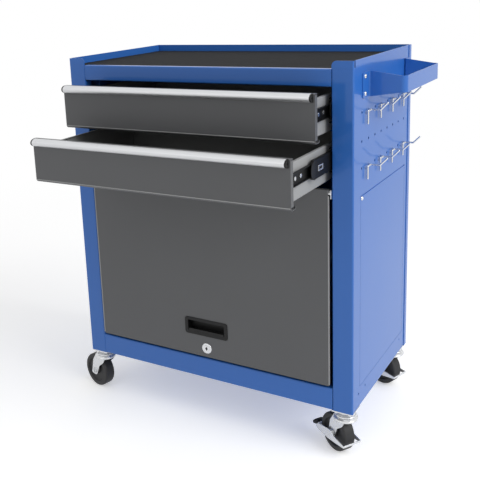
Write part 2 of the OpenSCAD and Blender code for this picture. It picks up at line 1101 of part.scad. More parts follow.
module hook(y, z) {
  r = wire_d / 2;
  stand = half_w + hook_stand;
  behind = inner_w - r;
  bend_x = half_w + hook_reach;
  tip_x = bend_x + hook_tip;
  leg_y = y - hook_step;
  // prong from behind the panel, out and up
  bar([behind, y, z], [bend_x, y, z], r);
  ball([bend_x, y, z], r);
  bar([bend_x, y, z], [tip_x, y, z + hook_tip], r);
  ball([tip_x, y, z + hook_tip], r);
  // tail turned up behind the panel
  ball([behind, y, z], r);
  bar([behind, y, z], [behind, y, z + hook_tail], r);
  // cross wire and hanging leg
  bar([stand, y, z], [stand, leg_y, z], r);
  ball([stand, leg_y, z], r);
  bar([stand, leg_y, z], [stand, leg_y, z - hook_drop], r);
  ball([stand, leg_y, z - hook_drop], r);
  // stub that keeps the leg off the panel
  bar([half_w, leg_y, z - hook_stand], [stand, leg_y, z - hook_stand], r);
}

module side_hooks() {
  color(steel)
    for (z = [peg_rows[0], peg_rows[2]]) {
      for (i = [1, 3, 5, 7]) {
        hook(peg_y0 + i * peg_pitch, z);
      }
    }
}

// Door and lock

module door_brackets() {
  pin_r = pin_d / 2;
  plate = bracket_th;
  color(steel)
    both_sides() {
      block(
        [open_w - plate, front_y - 3.4, hinge_z - 10],
        [open_w, front_y + flange_d - over, hinge_z + 6]
      );
      translate([door_w - pin_in, hinge_y, hinge_z])
        rotate([0, 90, 0])
          cylinder(r = pin_r, h = door_side_gap - plate / 2 + pin_in);
      translate([door_w + sheet_gap, hinge_y, hinge_z])
        rotate([0, 90, 0])
          cylinder(r = pin_r + pin_shoulder, h = door_side_gap - plate);
    }
}

module door_panel() {
  f = door_face + sheet / 2;
  b = door_face + door_d - sheet / 2;
  w = door_w - sheet / 2;
  h = door_top_z - door_low_z;
  plan = [[w - door_lip, b], [w, b], [w, f], [-w, f], [-w, b], [-w + door_lip, b]];
  color(grey)
    difference() {
      union() {
        translate([0, 0, door_low_z])
          folded(plan, [bend_r, bend_r, bend_r, bend_r], sheet, h);
        block([-w, f, door_top_z - sheet], [w, b, door_top_z]);
        block([-w, f, door_low_z], [w, b, door_low_z + sheet]);
      }
      both_sides()
        translate([door_w - 4, hinge_y, hinge_z])
          rotate([0, 90, 0])
            cylinder(r = pin_d / 2 + run_gap, h = 6);
      pull_box(cup_w, cup_h, 3, door_face - over, door_face + sheet + over);
      translate([0, door_face - over, lock_z])
        rotate([-90, 0, 0])
          cylinder(r = barrel_r + run_gap, h = sheet + 2 * over);
    }
}

// Block with rounded upright edges seen from the front
module pull_box(w, h, r, y0, y1) {
  for (sx = [-1, 1]) {
    for (sz = [-1, 1]) {
      translate([sx * (w / 2 - r), y0, pull_z + sz * (h / 2 - r)])
        rotate([-90, 0, 0])
          cylinder(r = r, h = y1 - y0);
    }
  }
  block([-w / 2 + r, y0, pull_z - h / 2], [w / 2 - r, y1, pull_z + h / 2]);
  block([-w / 2, y0, pull_z - h / 2 + r], [w / 2, y1, pull_z + h / 2 - r]);
}

module pull_cup() {
  slope = [
    [door_face - 1.4, pull_z - cup_h / 2 + 1],
    [door_face + 9, pull_z - cup_h / 2 + 1],
    [door_face + 9, pull_z - cup_h / 2 + 1.5],
    [door_face - 1.4, pull_z - cup_h / 2 + 7]
  ];
  color(black) {
    difference() {
      union() {
        pull_box(pull_w, pull_h, 5, door_face - pull_rim_th, door_face);
        pull_box(cup_w, cup_h, 3, door_face, door_face + pull_deep);
      }
      pull_box(
        cup_w - 2 * pull_wall, cup_h - 1.5 * pull_wall, 2,
        door_face - 2 * over, door_face + pull_deep - pull_rim_th
      );
    }
    translate([-cup_w / 2 + 1.75 * pull_wall, 0, 0])
      rotate([90, 0, 90])
        linear_extrude(height = cup_w - 3.5 * pull_wall)
          polygon(slope);
  }
}

module lock_housing() {
  color(bright)
    translate([0, door_face, lock_z])
      rotate([-90, 0, 0])
        difference() {
          union() {
            translate([0, 0, -2])
              cylinder(r1 = lock_d / 2 - 1, r2 = lock_d / 2, h = 1);
            translate([0, 0, -1])
              cylinder(r = lock_d / 2, h = 1);
            cylinder(r = barrel_r, h = lock_len);
            translate([0, 0, sheet])
              cylinder(r = lock_nut_r, h = 2.5, $fn = 6);
          }
          translate([0, 0, -3])
            cylinder(r = plug_r + run_gap, h = lock_len + 6);
        }
}

module lock_cylinder() {
  cam_y = lock_len + 2.2;
  color(steel)
    translate([0, door_face, lock_z]) {
      difference() {
        rotate([-90, 0, 0])
          translate([0, 0, -2.4])
            cylinder(r = plug_r, h = lock_len + 4.6);
        block([-1, -4, -4], [1, 4, 4]);
      }
      block([0, cam_y, -cam_r], [cam_len - cam_r, cam_y + cam_th, cam_r]);
      translate([cam_len - cam_r, cam_y, 0])
        rotate([-90, 0, 0])
          cylinder(r = cam_r, h = cam_th);
      translate([0, cam_y, 0])
        rotate([-90, 0, 0])
          cylinder(r = cam_r + 1, h = cam_th);
    }
}

// Casters

module at_casters() {
  translate([caster_x, caster_yf, 0])
    children();
  translate([-caster_x, caster_yf, 0])
    children();
  translate([caster_x, caster_yb, 0])
    children();
  translate([-caster_x, caster_yb, 0])
    children();
}

module caster_plate() {
  dish = [
    [0, -plate_th],
    [12, -plate_th],
    [14, -7],
    [19, -10.4],
    [19, -12.6],
    [17.4, -12.6],
    [17.4, -11.2],
    [12.8, -8],
    [11, -4.1],
    [0, -4.1]
  ];
  difference() {
    block([-plate_x, -plate_y, low_z - plate_th], [plate_x, plate_y, low_z]);
    for (sx = [-1, 1]) {
      for (sy = [-1, 1]) {
        translate([sx * bolt_x, sy * bolt_y, low_z - plate_th - over])
          cylinder(r = bolt_r + run_gap, h = plate_th + 2 * over);
      }
    }
  }
  translate([0, 0, low_z])
    rotate_extrude()
      polygon(dish);
  translate([0, 0, low_z - 15.8])
    cylinder(r = king_r, h = 12);
  translate([0, 0, low_z - 17.9])
    cylinder(r1 = 6, r2 = 8, h = 2.1);
}

module caster_plates() {
  color(bright)
    at_casters()
      caster_plate();
}

module caster_bolts() {
  color(steel)
    at_casters()
      for (sx = [-1, 1]) {
        for (sy = [-1, 1]) {
          translate([sx * bolt_x, sy * bolt_y, low_z]) {
            translate([0, 0, -plate_th - bolt_head_h])
              cylinder(r = bolt_head_r, h = bolt_head_h, $fn = 6);
            translate([0, 0, -plate_th - sheet_gap])
              cylinder(r = bolt_r, h = plate_th + 2 * sheet + nut_h + 1.5);
            translate([0, 0, 2 * sheet])
              cylinder(r = bolt_head_r, h = nut_h, $fn = 6);
          }
        }
      }
}

// Places a caster part: swivel point and turn, wheel trailing along +X
module place_caster(x, y, turn) {
  translate([x, y, 0])
    rotate([0, 0, turn])
      children();
}

module caster_fork() {
  race = [
    [king_r + run_gap, -15.6],
    [king_r + run_gap, -13.6],
    [18.5, -13.6],
    [22.5, -16.4],
    [22.5, -20.4],
    [20.7, -20.4],
    [20.7, -17.4],
    [17.9, -15.6]
  ];
  leg = [
    [-15, low_z - 20],
    [-15, low_z - 15],
    [16, low_z - 15],
    [trail + 4, axle_z + 26],
    [trail + 9.4, axle_z],
    [trail - 9.2, axle_z - 2],
    [trail - 17, axle_z + 16],
    [-8, axle_z + 28]
  ];
  color(bright)
    difference() {
      union() {
        translate([0, 0, low_z])
          rotate_extrude()
            polygon(race);
        for (s = [-1, 1]) {
          translate([0, s * (leg_y + leg_th / 2) + leg_th / 2, 0])
            rotate([90, 0, 0])
              linear_extrude(height = leg_th)
                polygon(leg);
          translate([trail, s * (leg_y + leg_th / 2) + leg_th / 2, axle_z])
            rotate([90, 0, 0])
              cylinder(r = boss_r, h = leg_th);
        }
      }
      translate([trail, 0, axle_z])
        rotate([90, 0, 0])
          cylinder(r = axle_r + run_gap, h = axle_cut, center = true);
    }
}

module caster_wheel() {
  r = tread_r;
  w = wheel_w / 2;
  half = [
    [axle_r + run_gap, w + 0.8],
    [9, w + 0.8],
    [10, w - 3],
    [26, w - 3],
    [28, w],
    [r - 3, w],
    [r - 1, w - 1],
    [r, w - 3]
  ];
  profile = concat(
    half,
    [for (i = [len(half) - 1 : -1 : 0]) [half[i][0], -half[i][1]]]
  );
  color(black)
    translate([trail, 0, axle_z])
      rotate([90, 0, 0])
        rotate_extrude()
          polygon(profile);
}

module caster_axle() {
  out = leg_y + leg_th;
  color(steel)
    translate([trail, 0, axle_z])
      rotate([90, 0, 0]) {
        cylinder(r = axle_r, h = 2 * out + 10, center = true);
        translate([0, 0, out])
          cylinder(r = axle_nut_r, h = axle_nut_h, $fn = 6);
        translate([0, 0, -out - axle_nut_h])
          cylinder(r = axle_nut_r, h = axle_nut_h, $fn = 6);
      }
}

// Brake stirrup: two side plates on the axle, joined round the wheel at the
// front and the back, with a sloping pedal at the back
module brake_side(s) {
  r = tread_r;
  plate = [
    [r + stirrup_gap, bridge_top],
    [r - 2, 2],
    [8, 7],
    [-4, 7],
    [-14, 0],
    [-r - stirrup_gap, -5],
    [-r - stirrup_gap, -9],
    [-14, -12],
    [8, -13],
    [r - 2, -11],
    [r + stirrup_gap, bridge_low]
  ];
  difference() {
    translate([0, s * (stirrup_y + stirrup_th / 2) + stirrup_th / 2, 0])
      rotate([90, 0, 0])
        linear_extrude(height = stirrup_th)
          polygon(plate);
    rotate([90, 0, 0])
      cylinder(r = axle_r + run_gap, h = axle_cut, center = true);
  }
}

module caster_brake() {
  x_out = tread_r + stirrup_gap;
  x_in = x_out - stirrup_th;
  y_out = stirrup_y + stirrup_th;
  pedal = [
    [x_in, bridge_top],
    [x_in, bridge_low],
    [x_out + pedal_len, -pedal_drop - pedal_th],
    [x_out + pedal_len + 1.5, -pedal_drop - pedal_th / 2],
    [x_out + pedal_len, -pedal_drop]
  ];
  color(bright)
    translate([trail, 0, axle_z]) {
      brake_side(1);
      brake_side(-1);
      block([x_in, -y_out, bridge_low], [x_out, y_out, bridge_top]);
      block([-x_out, -y_out, bridge_low - 1], [-x_in, y_out, bridge_top - 2]);
      translate([0, pedal_w / 2, 0])
        rotate([90, 0, 0])
          linear_extrude(height = pedal_w)
            polygon(pedal);
    }
}

// One module for each piece that comes more than once

module drawer_tray_1() {
  drawer_tray(low_1, face_1);
}

module drawer_front_1() {
  drawer_front(low_1, face_1);
}

module drawer_grip_1() {
  drawer_grip(low_1, face_1);
}

module grip_caps_1() {
  grip_caps(low_1, face_1);
}

module drawer_liner_1() {
  drawer_liner(low_1, face_1);
}

module slide_inners_1() {
  color(steel)
    both_sides()
      slide_inner(low_1 + slide_up, face_1);
}

module slide_screws_1() {
  color(bright)
    both_sides()
      slide_screw(low_1 + slide_up, face_1);
}

module slide_levers_1() {
  color(bright)
    both_sides()
      slide_lever(low_1 + slide_up, face_1);
}

module slide_middles_1() {
  color(steel)
    both_sides()
      slide_middle(low_1 + slide_up, 0);
}

module slide_noses_1() {
  color(black)
    both_sides()
      slide_nose(low_1 + slide_up, 0);
}

module ball_cages_outer_1() {
  color(steel)
    outer_cages(low_1 + slide_up, 0);
}

module ball_cages_inner_1() {
  color(steel)
    inner_cages(low_1 + slide_up, open_1 / 2);
}

module drawer_tray_2() {
  drawer_tray(low_2, face_2);
}

module drawer_front_2() {
  drawer_front(low_2, face_2);
}

module drawer_grip_2() {
  drawer_grip(low_2, face_2);
}

module grip_caps_2() {
  grip_caps(low_2, face_2);
}

module drawer_liner_2() {
  drawer_liner(low_2, face_2);
}

module slide_inners_2() {
  color(steel)
    both_sides()
      slide_inner(low_2 + slide_up, face_2);
}

module slide_screws_2() {
  color(bright)
    both_sides()
      slide_screw(low_2 + slide_up, face_2);
}

module slide_levers_2() {
  color(bright)
    both_sides()
      slide_lever(low_2 + slide_up, face_2);
}

module slide_middles_2() {
  color(steel)
    both_sides()
      slide_middle(low_2 + slide_up, mid_travel_2);
}

module slide_noses_2() {
  color(black)
    both_sides()
      slide_nose(low_2 + slide_up, mid_travel_2);
}

module ball_cages_outer_2() {
  color(steel)
    outer_cages(low_2 + slide_up, open_2 / 4);
}

module ball_cages_inner_2() {
  color(steel)
    inner_cages(low_2 + slide_up, 3 * open_2 / 4);
}

module caster_fork_fr() {
  place_caster(caster_x, caster_yf, turn_fr)
    caster_fork();
}

module caster_wheel_fr() {
  place_caster(caster_x, caster_yf, turn_fr)
    caster_wheel();
}

module caster_axle_fr() {
  place_caster(caster_x, caster_yf, turn_fr)
    caster_axle();
}

module caster_brake_fr() {
  place_caster(caster_x, caster_yf, turn_fr)
    caster_brake();
}

module caster_fork_fl() {
  place_caster(-caster_x, caster_yf, turn_fl)
    caster_fork();
}

module caster_wheel_fl() {
  place_caster(-caster_x, caster_yf, turn_fl)
    caster_wheel();
}

module caster_axle_fl() {
  place_caster(-caster_x, caster_yf, turn_fl)
    caster_axle();
}

module caster_fork_rr() {
  place_caster(caster_x, caster_yb, turn_rr)
    caster_fork();
}

module caster_wheel_rr() {
  place_caster(caster_x, caster_yb, turn_rr)
    caster_wheel();
}

module caster_axle_rr() {
  place_caster(caster_x, caster_yb, turn_rr)
    caster_axle();
}

module caster_brake_rr() {
  place_caster(caster_x, caster_yb, turn_rr)
    caster_brake();
}

module caster_fork_rl() {
  place_caster(-caster_x, caster_yb, turn_rl)
    caster_fork();
}

module caster_wheel_rl() {
  place_caster(-caster_x, caster_yb, turn_rl)
    caster_wheel();
}

module caster_axle_rl() {
  place_caster(-caster_x, caster_yb, turn_rl)
    caster_axle();
}

left_side_panel();
right_side_panel();
lower_side_panels();
back_panel();
base_panel();
bottom_rail();
top_rail();
top_panel();
top_mat();
slide_posts();
slide_outers();
side_handle();
body_screws();
side_hooks();
door_brackets();
caster_plates();
caster_bolts();
drawer_tray_1();
drawer_front_1();
drawer_grip_1();
grip_caps_1();
drawer_liner_1();
slide_inners_1();
slide_screws_1();
slide_levers_1();
slide_middles_1();
slide_noses_1();
ball_cages_outer_1();
ball_cages_inner_1();
drawer_tray_2();
drawer_front_2();
drawer_grip_2();
grip_caps_2();
drawer_liner_2();
slide_inners_2();
slide_screws_2();
slide_levers_2();
slide_middles_2();
slide_noses_2();
ball_cages_outer_2();
ball_cages_inner_2();
door_panel();
pull_cup();
lock_housing();
lock_cylinder();
caster_fork_fr();
caster_wheel_fr();
caster_axle_fr();
caster_brake_fr();
caster_fork_fl();
caster_wheel_fl();
caster_axle_fl();
caster_fork_rr();
caster_wheel_rr();
caster_axle_rr();
caster_brake_rr();
caster_fork_rl();
caster_wheel_rl();
caster_axle_rl();
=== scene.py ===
"""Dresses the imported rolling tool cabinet: paint, metal and rubber finishes,
the small moulded trim that the solids leave out, the stage and the camera."""

import json
import math

import bmesh
import bpy
from mathutils import Matrix, Vector


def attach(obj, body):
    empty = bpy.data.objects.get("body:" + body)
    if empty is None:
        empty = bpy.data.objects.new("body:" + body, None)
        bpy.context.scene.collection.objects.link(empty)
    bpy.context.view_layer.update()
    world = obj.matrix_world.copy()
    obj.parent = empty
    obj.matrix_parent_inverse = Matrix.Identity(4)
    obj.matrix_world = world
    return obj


bl_info = {
    "name": "Rolling Tool Cabinet",
    "version": (1, 0, 0),
    "blender": (4, 5, 0),
    "location": "View3D > Sidebar > Tool Cabinet",
    "description": "Finishes, small trim, stage and camera of a tool cabinet",
    "category": "Object",
}

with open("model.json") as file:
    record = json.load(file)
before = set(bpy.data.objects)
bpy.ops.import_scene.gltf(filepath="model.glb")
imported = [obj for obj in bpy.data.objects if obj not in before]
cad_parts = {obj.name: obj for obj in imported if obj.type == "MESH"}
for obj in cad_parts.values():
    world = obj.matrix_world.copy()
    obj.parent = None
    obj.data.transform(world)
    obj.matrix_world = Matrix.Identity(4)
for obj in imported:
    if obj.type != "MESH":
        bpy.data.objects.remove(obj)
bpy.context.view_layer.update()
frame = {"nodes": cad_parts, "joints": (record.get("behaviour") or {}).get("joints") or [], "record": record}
MM = 0.001
NODES = frame["nodes"]
SLOT_OF = {s["node"]: s["material_slot"] for s in frame["record"]["subparts"]}
JOINTS = {j["name"]: j for j in frame["joints"]}
# The casters: front or rear, then right or left.
CORNERS = ("fr", "fl", "rr", "rl")
BRAKED = ("fr", "rr")
# Edges that turn by more than this stay sharp.
SHARP_ANGLE = math.radians(35)
QUARTER_TURN = math.radians(90)
# The camera was fitted to a square picture, in its pixels.
PICTURE_SIDE = 480
FOCAL_PIXELS = 766.7
SENSOR_WIDTH = 36


def linear(hex_colour):
    """Linear RGBA of an sRGB hex colour such as 4670b8."""
    channels = [int(hex_colour[i : i + 2], 16) / 255 for i in (0, 2, 4)]
    return [
        c / 12.92 if c <= 0.04045 else ((c + 0.055) / 1.055) ** 2.4 for c in channels
    ] + [1.0]


def add(tree, kind, settings=None, links=None):
    """Adds a node; settings are its properties or sockets, links its inputs."""
    node = tree.nodes.new(kind)
    for name, value in (settings or {}).items():
        if isinstance(name, int) or name in node.inputs:
            node.inputs[name].default_value = value
        else:
            setattr(node, name, value)
    for name, source in (links or {}).items():
        tree.links.new(source, node.inputs[name])
    return node


def colour_prop(name, description, hex_colour):
    """A colour setting; its default is given as an sRGB hex colour."""
    return bpy.props.FloatVectorProperty(
        name=name,
        description=description,
        subtype="COLOR",
        size=4,
        min=0,
        max=1,
        default=linear(hex_colour),
    )


def number_prop(name, description, value, unit="NONE"):
    """A setting that isn't below zero."""
    return bpy.props.FloatProperty(
        name=name, description=description, default=value, min=0, unit=unit
    )


def length_prop(name, description, metres):
    return number_prop(name, description, metres, "LENGTH")


def angle_prop(name, description, degrees):
    return bpy.props.FloatProperty(
        name=name,
        description=description,
        default=math.radians(degrees),
        subtype="ANGLE",
    )


class CabinetFinish(bpy.types.PropertyGroup):
    """Colours of the painted, moulded and metal surfaces."""

    enamel: colour_prop("Enamel", "Blue of the body sheets", "2a67b9")
    coat: colour_prop("Powder coat", "Grey of the door and drawer fronts", "565759")
    # The same light grey also paints the highlight on the front beads and the door's side beads.
    tray: colour_prop("Tray coat", "Light grey of the drawer trays", "989999")
    grip: colour_prop("Grip metal", "Satin aluminium of the grip bars", "d9dadc")
    zinc: colour_prop("Zinc plate", "Plated steel of the casters and lock", "dcdddf")
    steel: colour_prop("Bare steel", "Bright steel of screws and hooks", "d2d4d6")
    rail: colour_prop("Slide steel", "Dark finish of the drawer slides", "131314")
    # This black also paints the shade of the key hole, on the key disc.
    moulding: colour_prop("Moulding", "Black of the moulded parts", "0c0c0d")
    rubber: colour_prop("Mat rubber", "Grey of the top mat", "17181a")
    liner: colour_prop("Liner", "Black of the drawer liners", "0b0b0c")
    tyre: colour_prop("Tyre", "Black of the wheels", "1b1b1d")


class CabinetTrim(bpy.types.PropertyGroup):
    """Sizes of the trim that is made here."""

    pad_length: length_prop("Pad length", "Length of a brake pedal pad", 0.020)
    pad_height: length_prop("Pad height", "Thickness of a brake pedal pad", 0.0075)
    upper_bead: length_prop("Upper bead", "Radius of the bead under the plate", 0.0186)
    lower_bead: length_prop("Lower bead", "Radius of the bead on the fork", 0.0212)
    catch_length: length_prop("Catch length", "Length of a slide catch", 0.020)
    catch_height: length_prop("Catch height", "Height of a slide catch", 0.010)
    ear_radius: length_prop("Ear radius", "Inner corner of a stile ear", 0.009)
    # The foot beads and the door's side beads are light grey as a painted highlight of folded edges.
    highlight_bead_height: length_prop("Bead height", "Height of the front beads", 0.0016)
    highlight_bead_up: length_prop("Bead level", "Height of the bead over the foot", 0.0046)
    edge_width: length_prop("Door edge", "Width of the beads on the door", 0.0026)
    # The key disc is black as a painted shade inside the key hole.
    keyhole_shade_radius: length_prop("Shutter", "Radius of the key shutter", 0.0027)
    soft_edge: length_prop("Soft edge", "Radius of the paint on a cut edge", 0.0006)


class CabinetStage(bpy.types.PropertyGroup):
    """The floor, the lamps and the camera."""

    floor: colour_prop("Floor", "Colour of the floor and the backdrop", "fafafa")
    floor_size: length_prop("Floor size", "Width of the floor", 14.0)
    lift: number_prop("Lift", "White added to the lit floor", 0.35)
    key_power: number_prop("Key power", "Power of the large lamp", 88, "POWER")
    fill_power: number_prop("Fill power", "Power of the front lamp", 9, "POWER")
    sky: number_prop("Sky", "Strength of the even room light", 0.5)
    eye: bpy.props.FloatVectorProperty(
        name="Eye",
        description="Place of the camera",
        subtype="TRANSLATION",
        unit="LENGTH",
        default=(0.7431, -1.3881, 0.8733),
    )
    azimuth: angle_prop("Azimuth", "Turn of the camera", 31.955)
    elevation: angle_prop("Elevation", "Downward tilt of the camera", 13.086)
    roll: angle_prop("Roll", "Roll of the camera", -2.63)
    lens: bpy.props.FloatProperty(
        name="Lens",
        description="Focal length",
        unit="CAMERA",
        default=FOCAL_PIXELS / PICTURE_SIDE * SENSOR_WIDTH,
    )
    shift: bpy.props.FloatVectorProperty(
        name="Shift", description="Shift of the picture", size=2, default=(0.1, -0.15)
    )


def new_material(name):
    """An empty material with a Principled shader and its output."""
    material = bpy.data.materials.new(name)
    material.use_nodes = True
    tree = material.node_tree
    tree.nodes.clear()
    shader = add(tree, "ShaderNodeBsdfPrincipled")
    add(tree, "ShaderNodeOutputMaterial", links={"Surface": shader.outputs["BSDF"]})
    return material, tree, shader


def place_of(tree):
    """Object coordinates, in metres."""
    return add(tree, "ShaderNodeTexCoord").outputs["Object"]


def seen_rays(tree):
    """1 for the rays by which the eye, a metal or a glass sees a surface."""
    rays = add(tree, "ShaderNodeLightPath")
    total = rays.outputs["Is Camera Ray"]
    for name in ("Is Glossy Ray", "Is Transmission Ray"):
        links = {0: total, 1: rays.outputs[name]}
        total = add(
            tree, "ShaderNodeMath", {"operation": "MAXIMUM"}, links
        ).outputs["Value"]
    return total


def two_tone(tree, shader, colour, share, dark, light):
    """Base colour between the colour times dark and the colour times light."""
    tones = [[min(1.0, c * k) for c in colour[:3]] + [1.0] for k in (dark, light)]
    # Sockets 6 and 7 are the two colours of the node, and output 2 its colour.
    mix = add(
        tree,
        "ShaderNodeMix",
        {"data_type": "RGBA", 6: tones[0], 7: tones[1]},
        {0: share},
    )
    tree.links.new(mix.outputs[2], shader.inputs["Base Color"])


def mottled(tree, shader, colour, place, grain, amount):
    """Base colour that varies a little; grain is the patch size in metres."""
    noise = add(
        tree,
        "ShaderNodeTexNoise",
        {"Scale": 1 / grain, "Detail": 3.0, "Roughness": 0.55},
        {"Vector": place},
    )
    two_tone(tree, shader, colour, noise.outputs["Fac"], 1 - amount, 1 + amount)
    return noise


def rough_range(tree, shader, source, low, high):
    """Roughness that runs from low to high as the source goes from 0 to 1."""
    spread = add(
        tree, "ShaderNodeMapRange", {"To Min": low, "To Max": high}, {"Value": source}
    )
    tree.links.new(spread.outputs["Result"], shader.inputs["Roughness"])


def relief(tree, shader, height, depth, edge=None):
    """Bump of a real depth in metres, over edges softened by edge metres."""
    bump = add(tree, "ShaderNodeBump", {"Distance": depth}, {"Height": height})
    if edge:
        soft = add(tree, "ShaderNodeBevel", {"samples": 6, "Radius": edge})
        tree.links.new(soft.outputs["Normal"], bump.inputs["Normal"])
    tree.links.new(bump.outputs["Normal"], shader.inputs["Normal"])


def semi_gloss_enamel(finish, trim):
    # Stoved enamel on pressed sheet: even colour, soft gloss and the faint
    # orange peel of a sprayed coat, about 2.5 mm from dimple to dimple.
    material, tree, shader = new_material("semi_gloss_enamel")
    place = place_of(tree)
    cloud = mottled(tree, shader, finish.enamel, place, grain=0.22, amount=0.035)
    peel = add(
        tree,
        "ShaderNodeTexNoise",
        {"Scale": 1 / 0.0025, "Detail": 1.0},
        {"Vector": place},
    )
    rough_range(tree, shader, cloud.outputs["Fac"], low=0.4, high=0.48)
    relief(tree, shader, peel.outputs["Fac"], depth=0.000035, edge=trim.soft_edge)
    shader.inputs["Specular IOR Level"].default_value = 0.25
    shader.inputs["Coat Weight"].default_value = 0.5
    shader.inputs["Coat Roughness"].default_value = 0.09
    return material


def fine_powder_coat(name, colour, trim, sheen):
    # Baked powder on steel: a fine sand-like grain of about 0.8 mm, drawn at
    # 1.6 mm so that it shows, which takes the shine off in small flecks.
    material, tree, shader = new_material(name)
    place = place_of(tree)
    mottled(tree, shader, colour, place, grain=0.16, amount=0.05)
    grain = add(
        tree,
        "ShaderNodeTexNoise",
        {"Scale": 1 / 0.0016, "Detail": 2.0, "Roughness": 0.7},
        {"Vector": place},
    )
    rough_range(tree, shader, grain.outputs["Fac"], low=sheen, high=sheen + 0.18)
    relief(tree, shader, grain.outputs["Fac"], depth=0.00006, edge=trim.soft_edge)
    return material


def drawn_aluminium(finish, trim):
    # Extruded and satin anodised: long faint die lines along the bar.
    material, tree, shader = new_material("satin_anodised_aluminium")
    place = place_of(tree)
    along = add(
        tree, "ShaderNodeMapping", {"Scale": (0.02, 1.0, 1.0)}, {"Vector": place}
    )
    lines = mottled(
        tree, shader, finish.grip, along.outputs["Vector"], grain=0.0012, amount=0.05
    )
    rough_range(tree, shader, lines.outputs["Fac"], low=0.42, high=0.56)
    relief(tree, shader, lines.outputs["Fac"], depth=0.00003, edge=trim.soft_edge)
    shader.inputs["Metallic"].default_value = 0.85
    return material


def bright_zinc(finish, trim):
    # Electroplated pressings: bright and a little wavy from the press tool.
    material, tree, shader = new_material("bright_zinc_plate")
    place = place_of(tree)
    wave = mottled(tree, shader, finish.zinc, place, grain=0.012, amount=0.06)
    rough_range(tree, shader, wave.outputs["Fac"], low=0.14, high=0.26)
    relief(tree, shader, wave.outputs["Fac"], depth=0.00006, edge=trim.soft_edge)
    shader.inputs["Metallic"].default_value = 0.72
    return material


def bright_steel(finish, trim):
    # Drawn wire and turned heads: bright metal with short fine scratches.
    material, tree, shader = new_material("bright_drawn_steel")
    place = place_of(tree)
    scratch = mottled(tree, shader, finish.steel, place, grain=0.0022, amount=0.12)
    rough_range(tree, shader, scratch.outputs["Fac"], low=0.14, high=0.28)
    relief(tree, shader, scratch.outputs["Fac"], depth=0.00003, edge=trim.soft_edge)
    shader.inputs["Metallic"].default_value = 0.92
    return material


def dark_slide_steel(finish, trim):
    # Rolled slide steel with a dark electro coat, rubbed along its run.
    material, tree, shader = new_material("dark_coated_slide_steel")
    place = place_of(tree)
    along = add(
        tree, "ShaderNodeMapping", {"Scale": (1.0, 0.03, 1.0)}, {"Vector": place}
    )
    rub = mottled(
        tree, shader, finish.rail, along.outputs["Vector"], grain=0.0018, amount=0.22
    )
    rough_range(tree, shader, rub.outputs["Fac"], low=0.42, high=0.58)
    relief(tree, shader, rub.outputs["Fac"], depth=0.00003, edge=trim.soft_edge)
    shader.inputs["Specular IOR Level"].default_value = 0.2
    return material


def spark_moulding(finish, trim):
    # Injection-moulded nylon with a spark-eroded grain of about 0.5 mm,
    # drawn at 1 mm so that it shows.
    # The key disc also wears this material, as a painted shade of the key hole.
    material, tree, shader = new_material("spark_grained_nylon_and_shade")
    place = place_of(tree)
    mottled(tree, shader, finish.moulding, place, grain=0.01, amount=0.1)
    grain = add(
        tree,
        "ShaderNodeTexVoronoi",
        {"feature": "SMOOTH_F1", "Scale": 1 / 0.001},
        {"Vector": place},
    )
    rough_range(tree, shader, grain.outputs["Distance"], low=0.42, high=0.6)
    relief(tree, shader, grain.outputs["Distance"], depth=0.00006, edge=trim.soft_edge)
    shader.inputs["Specular IOR Level"].default_value = 0.32
    return material


def pebbled_mat(finish):
    # Calendered rubber sheet: a pebbled face, about 3 mm from bump to bump,
    # that scatters the light and keeps a few dusty flecks.
    material, tree, shader = new_material("pebbled_rubber_sheet")
    place = place_of(tree)
    pebble = add(
        tree,
        "ShaderNodeTexVoronoi",
        {"feature": "F1", "Scale": 1 / 0.003},
        {"Vector": place},
    )
    fleck = add(
        tree,
        "ShaderNodeTexNoise",
        {"Scale": 1 / 0.006, "Detail": 4.0},
        {"Vector": place},
    )
    tone = add(
        tree,
        "ShaderNodeMath",
        {"operation": "MULTIPLY"},
        {0: pebble.outputs["Distance"], 1: fleck.outputs["Fac"]},
    )
    two_tone(tree, shader, finish.rubber, tone.outputs["Value"], 0.72, 1.5)
    rough_range(tree, shader, fleck.outputs["Fac"], low=0.78, high=0.94)
    relief(tree, shader, pebble.outputs["Distance"], depth=0.0004)
    shader.inputs["Specular IOR Level"].default_value = 0.15
    return material


def ribbed_liner(finish):
    # Soft black foam liner: fine ribs 5 mm apart, matt all over. The wave node
    # draws one band each 0.314 / Scale.
    material, tree, shader = new_material("ribbed_foam_liner")
    place = place_of(tree)
    ribs = add(
        tree,
        "ShaderNodeTexWave",
        {"bands_direction": "X", "wave_profile": "SIN", "Scale": 0.314 / 0.005},
        {"Vector": place},
    )
    mottled(tree, shader, finish.liner, place, grain=0.02, amount=0.2)
    rough_range(tree, shader, ribs.outputs["Fac"], low=0.75, high=0.9)
    relief(tree, shader, ribs.outputs["Fac"], depth=0.0005)
    return material


def solid_tyre(finish, trim):
    # Moulded solid wheel: matt black with a bloom of grey dust in patches.
    material, tree, shader = new_material("moulded_solid_rubber")
    place = place_of(tree)
    bloom = mottled(tree, shader, finish.tyre, place, grain=0.014, amount=0.3)
    rough_range(tree, shader, bloom.outputs["Fac"], low=0.45, high=0.68)
    relief(tree, shader, bloom.outputs["Fac"], depth=0.00012, edge=trim.soft_edge)
    return material


def dress(slot, material):
    """Gives the material to every CAD node of this slot."""
    for name, used in SLOT_OF.items():
        if used == slot:
            for place in NODES[name].material_slots:
                place.material = material


def worn(slot):
    """The material that the CAD nodes of this slot wear."""
    return next(
        NODES[name].active_material for name, used in SLOT_OF.items() if used == slot
    )


def finish_piece(mesh, name, body, slot):
    """Turns a bmesh into a piece that rides on a body, in the slot's material."""
    bmesh.ops.recalc_face_normals(mesh, faces=mesh.faces)
    data = bpy.data.meshes.new(name)
    mesh.to_mesh(data)
    mesh.free()
    for polygon in data.polygons:
        polygon.use_smooth = True
    data.set_sharp_from_angle(angle=SHARP_ANGLE)
    data.materials.append(worn(slot))
    piece = bpy.data.objects.new(name, data)
    bpy.context.scene.collection.objects.link(piece)
    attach(piece, body)
    return piece


